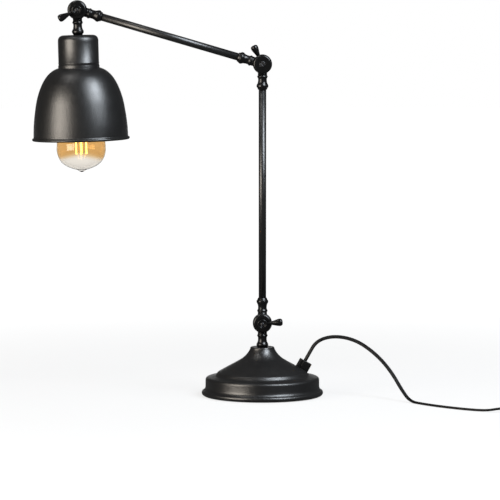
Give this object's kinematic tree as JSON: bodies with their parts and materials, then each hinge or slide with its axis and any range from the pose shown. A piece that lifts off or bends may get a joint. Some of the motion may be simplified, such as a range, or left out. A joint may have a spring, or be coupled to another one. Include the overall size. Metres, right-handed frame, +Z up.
{
  "type": "desk lamp",
  "caption": "Jointed desk lamp with weighted round base, tilting stem and arm on clamp swivels, tilting bell shade, screw-in filament bulb and a flat cord with switch and plug.",
  "frame": {"origin": "centre of the base's underside, on the surface the lamp stands on", "axes": "+Z up, the arm reaches towards -X, the viewer of the picture stands on -Y, hinge axes run along Y"},
  "size_m": [0.7223, 0.2471, 0.5197],
  "materials": {
    "powder_coat": "satin black powder coat",
    "swivel_black": "semi-gloss black paint",
    "lever_black": "gloss black paint",
    "felt": "pressed felt",
    "plate_steel": "zinc plated",
    "stud_steel": "blackened steel",
    "weight_iron": "rough cast",
    "brass": "turned",
    "nickel_plate": "nickel plated brass",
    "grip_plastic": "moulded",
    "wire_sheath": "smooth PVC",
    "cord_sheath": "satin PVC",
    "holder_plastic": "moulded",
    "vitrite": "opaque black glass",
    "amber_glass": "clear, amber tint above",
    "clear_glass": "clear",
    "filament": "phosphor coated",
    "support_wire": "drawn wire",
    "switch_plastic": "fine spark texture",
    "plug_pvc": "moulded PVC",
    "tie_plastic": "soft strap"
  },
  "bodies": {
    "base": {"base_cover": "powder_coat", "felt_pad": "felt", "base_weight": "weight_iron", "base_nipple": "brass", "base_nut": "plate_steel", "cord_grip_body": "grip_plastic", "cord_grip_wedge": "grip_plastic", "inner_lead": "wire_sheath", "lower_swivel_foot": "swivel_black", "lower_stud": "stud_steel", "cord": "cord_sheath", "switch_base": "switch_plastic", "switch_cover": "switch_plastic", "cord_tail": "cord_sheath", "cord_coil": "cord_sheath", "coil_tie": "tie_plastic", "cord_end": "cord_sheath", "plug_body": "plug_pvc", "plug_pins": "nickel_plate"},
    "stem": {"lower_swivel_stem": "swivel_black", "stem_tube": "powder_coat", "stem_wire": "wire_sheath", "elbow_swivel_stem": "swivel_black", "elbow_stud": "stud_steel"},
    "arm": {"elbow_swivel_arm": "swivel_black", "arm_tube": "powder_coat", "arm_wire": "wire_sheath", "head_swivel_arm": "swivel_black", "head_stud": "stud_steel"},
    "head": {"head_swivel_cup": "swivel_black", "head_nipple": "brass", "head_wire": "wire_sheath", "shade_cup": "powder_coat", "shade_bell": "powder_coat", "shade_ring": "holder_plastic", "holder_cap": "holder_plastic", "holder_body": "holder_plastic", "centre_contact": "brass", "bulb_cap": "nickel_plate", "bulb_insulator": "vitrite", "bulb_tip": "brass", "bulb_glass": "amber_glass", "bulb_mount": "clear_glass", "bulb_filaments": "filament", "bulb_supports": "support_wire"},
    "lower_clamp": {"lower_lever": "lever_black"},
    "elbow_clamp": {"elbow_lever": "lever_black"},
    "head_clamp": {"head_lever": "lever_black"},
    "switch_key": {"rocker": "switch_plastic"}
  },
  "joints": [
    {"name": "base_tilt", "type": "hinge", "parent": "base", "child": "stem", "pos_m": [0, 0, 0.0959], "axis": [0, -1, 0], "range_deg": [-40, 40]},
    {"name": "elbow_hinge", "type": "hinge", "parent": "stem", "child": "arm", "pos_m": [0, 0, 0.4364], "axis": [0, -1, 0], "range_deg": [-193, 46]},
    {"name": "head_tilt", "type": "hinge", "parent": "arm", "child": "head", "pos_m": [-0.24187, 0, 0.50713], "axis": [0, -1, 0], "range_deg": [-227, 12]},
    {"name": "lower_lever_turn", "type": "hinge", "parent": "base", "child": "lower_clamp", "pos_m": [0, 0, 0.0959], "axis": [0, -1, 0], "range_deg": [0, 180]},
    {"name": "elbow_lever_turn", "type": "hinge", "parent": "stem", "child": "elbow_clamp", "pos_m": [0, 0, 0.4364], "axis": [0, 1, 0], "range_deg": [0, 180]},
    {"name": "head_lever_turn", "type": "hinge", "parent": "arm", "child": "head_clamp", "pos_m": [-0.24187, 0, 0.50713], "axis": [0, -1, 0], "range_deg": [0, 180]},
    {"name": "switch_rock", "type": "hinge", "parent": "base", "child": "switch_key", "pos_m": [0.341, -0.152, 0.014], "axis": [-0.2588, 0.9659, 0], "range_deg": [0, 14]}
  ]
}
